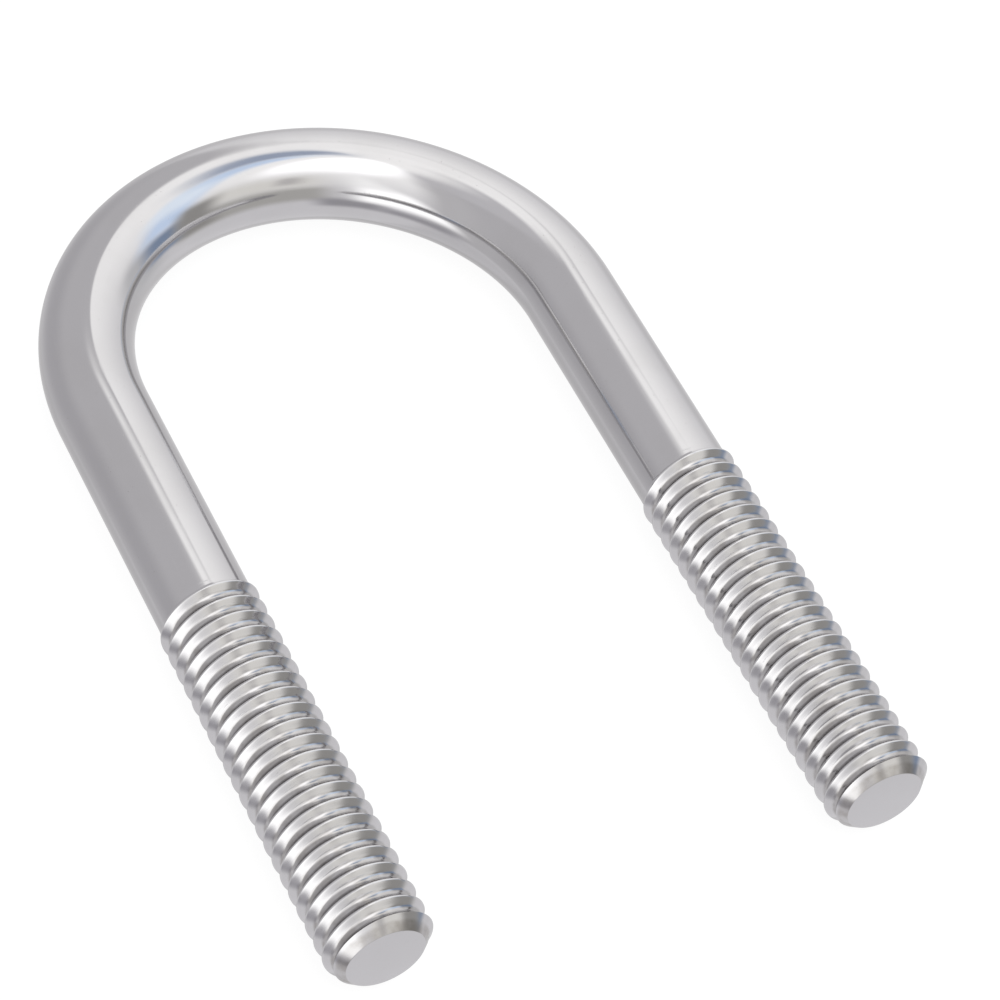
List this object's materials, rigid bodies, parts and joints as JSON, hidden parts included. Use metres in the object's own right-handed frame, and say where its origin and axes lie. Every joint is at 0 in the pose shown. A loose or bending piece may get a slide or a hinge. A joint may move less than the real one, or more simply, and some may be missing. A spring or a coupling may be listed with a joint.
{
  "type": "u-bolt",
  "caption": "Round-bend U-bolt of one bent round steel bar, with right-hand unified threads rolled proud of the bar on both leg ends.",
  "frame": {"origin": "centre of the bend, on the axis of a pipe that the bend seats, in the plane of the bar's centre line", "axes": "+X from the left leg to the right leg, +Y up from the origin to the crown of the bend with the legs running towards -Y, +Z along the clamped pipe's axis; the bolt lies flat with +Z up"},
  "size_m": [0.0454, 0.0729, 0.0076],
  "materials": {
    "polished_bar": "bright drawn and polished steel bar",
    "rolled_thread": "bright rolled steel thread"
  },
  "bodies": {
    "root": {"bow": "polished_bar", "left_thread": "rolled_thread", "right_thread": "rolled_thread"}
  },
  "joints": []
}
